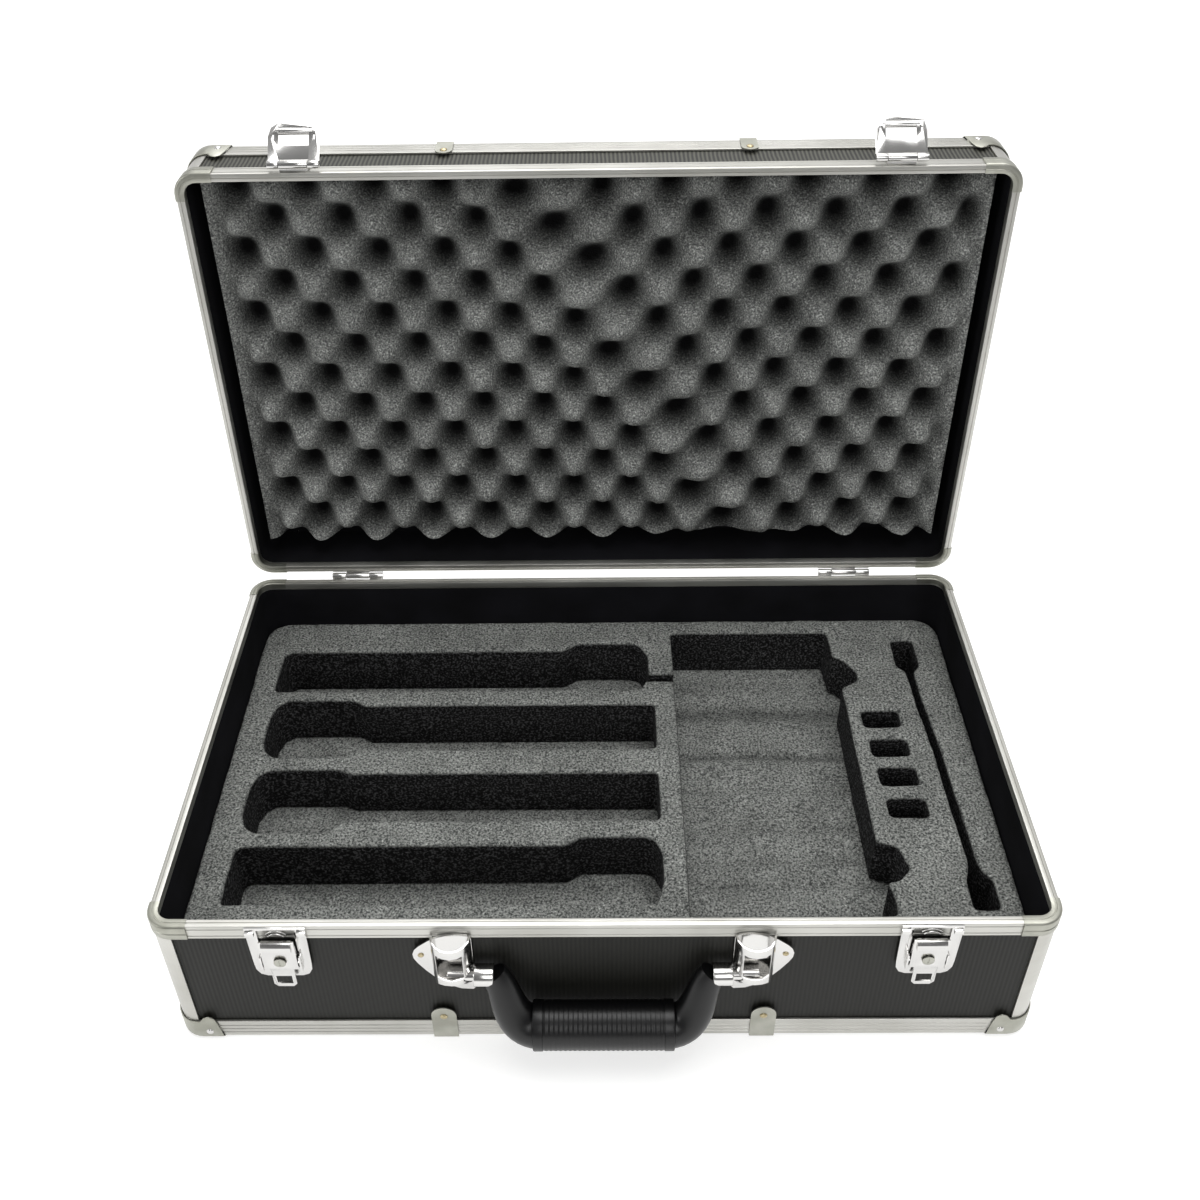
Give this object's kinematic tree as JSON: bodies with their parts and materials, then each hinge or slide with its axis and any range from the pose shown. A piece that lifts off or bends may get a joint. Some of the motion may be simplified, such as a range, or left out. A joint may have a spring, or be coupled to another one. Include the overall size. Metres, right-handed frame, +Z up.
{
  "type": "attache case",
  "caption": "Hard attache case with aluminium edging, folding handle, sprung catches and die-cut foam pockets for handheld microphones, standing open",
  "frame": {"origin": "the middle of the bottom board's underside, inside the raised edge frame", "axes": "+X to the case's right seen from the handle side, +Y from the handle side to the hinges, +Z up"},
  "size_m": [0.4822, 0.3668, 0.4134],
  "materials": {
    "aluminium": "satin, drawn lengthwise",
    "pressed_metal": "satin grey-green, pressed",
    "nickel": "polished nickel plate",
    "panel": "black laminate with fine ribs",
    "foam": "charcoal open-cell foam",
    "grip": "satin black moulding"
  },
  "bodies": {
    "base": {"base_rim": "aluminium", "base_edge_frame": "aluminium", "base_front_panel": "panel", "base_rear_panel": "panel", "base_left_panel": "panel", "base_right_panel": "panel", "base_bottom_panel": "panel", "base_post_rear_right": "aluminium", "base_rim_corner_rear_right": "pressed_metal", "base_ball_corner_rear_right": "pressed_metal", "base_post_rear_left": "aluminium", "base_rim_corner_rear_left": "pressed_metal", "base_ball_corner_rear_left": "pressed_metal", "base_post_front_right": "aluminium", "base_rim_corner_front_right": "pressed_metal", "base_ball_corner_front_right": "pressed_metal", "base_post_front_left": "aluminium", "base_rim_corner_front_left": "pressed_metal", "base_ball_corner_front_left": "pressed_metal", "base_foam_pad": "foam", "base_foam_insert": "foam", "latch_plate_left": "nickel", "hinge_base_leaf_left": "nickel", "handle_bracket_left": "nickel", "latch_plate_right": "nickel", "hinge_base_leaf_right": "nickel", "handle_bracket_right": "nickel"},
    "lid": {"lid_rim": "aluminium", "lid_edge_frame": "aluminium", "lid_front_panel": "panel", "lid_rear_panel": "panel", "lid_left_panel": "panel", "lid_right_panel": "panel", "lid_top_panel": "panel", "lid_post_rear_right": "aluminium", "lid_rim_corner_rear_right": "pressed_metal", "lid_ball_corner_rear_right": "pressed_metal", "lid_post_rear_left": "aluminium", "lid_rim_corner_rear_left": "pressed_metal", "lid_ball_corner_rear_left": "pressed_metal", "lid_post_front_right": "aluminium", "lid_rim_corner_front_right": "pressed_metal", "lid_ball_corner_front_right": "pressed_metal", "lid_post_front_left": "aluminium", "lid_rim_corner_front_left": "pressed_metal", "lid_ball_corner_front_left": "pressed_metal", "lid_foam": "foam", "hasp_mount_left": "nickel", "hinge_lid_leaf_left": "nickel", "hasp_mount_right": "nickel", "hinge_lid_leaf_right": "nickel"},
    "handle": {"handle_grip": "grip", "handle_pivot_left": "nickel", "handle_pivot_right": "nickel"},
    "hasp_left": {"hasp_left": "nickel"},
    "lever_left": {"latch_lever_left": "nickel"},
    "key_left": {"key_cylinder_left": "nickel"},
    "hasp_right": {"hasp_right": "nickel"},
    "lever_right": {"latch_lever_right": "nickel"},
    "key_right": {"key_cylinder_right": "nickel"}
  },
  "joints": [
    {"name": "lid_hinge", "type": "hinge", "parent": "base", "child": "lid", "pos_m": [0, 0.1457, 0.101], "axis": [-1, 0, 0], "range_deg": [-91, 0]},
    {"name": "handle_swing", "type": "hinge", "parent": "base", "child": "handle", "pos_m": [0, -0.1487, 0.0664], "axis": [-1, 0, 0], "range_deg": [0, 95]},
    {"name": "hasp_swing_left", "type": "hinge", "parent": "lid", "child": "hasp_left", "pos_m": [-0.171, 0.154, 0.393], "axis": [-1, 0, 0], "range_deg": [-130, 0]},
    {"name": "hasp_swing_right", "type": "hinge", "parent": "lid", "child": "hasp_right", "pos_m": [0.171, 0.154, 0.393], "axis": [-1, 0, 0], "range_deg": [-130, 0]},
    {"name": "catch_lever_left", "type": "hinge", "parent": "base", "child": "lever_left", "pos_m": [-0.171, -0.1453, 0.074], "axis": [-1, 0, 0], "range_deg": [0, 8], "stiffness_Nm_per_rad": 0.2, "springref_deg": -2.86},
    {"name": "catch_lever_right", "type": "hinge", "parent": "base", "child": "lever_right", "pos_m": [0.171, -0.1453, 0.074], "axis": [-1, 0, 0], "range_deg": [0, 8], "stiffness_Nm_per_rad": 0.2, "springref_deg": -2.86},
    {"name": "key_turn_left", "type": "hinge", "parent": "lever_left", "child": "key_left", "pos_m": [-0.171, -0.147, 0.076], "axis": [0, 1, 0], "range_deg": [0, 90]},
    {"name": "key_turn_right", "type": "hinge", "parent": "lever_right", "child": "key_right", "pos_m": [0.171, -0.147, 0.076], "axis": [0, 1, 0], "range_deg": [0, 90]}
  ]
}
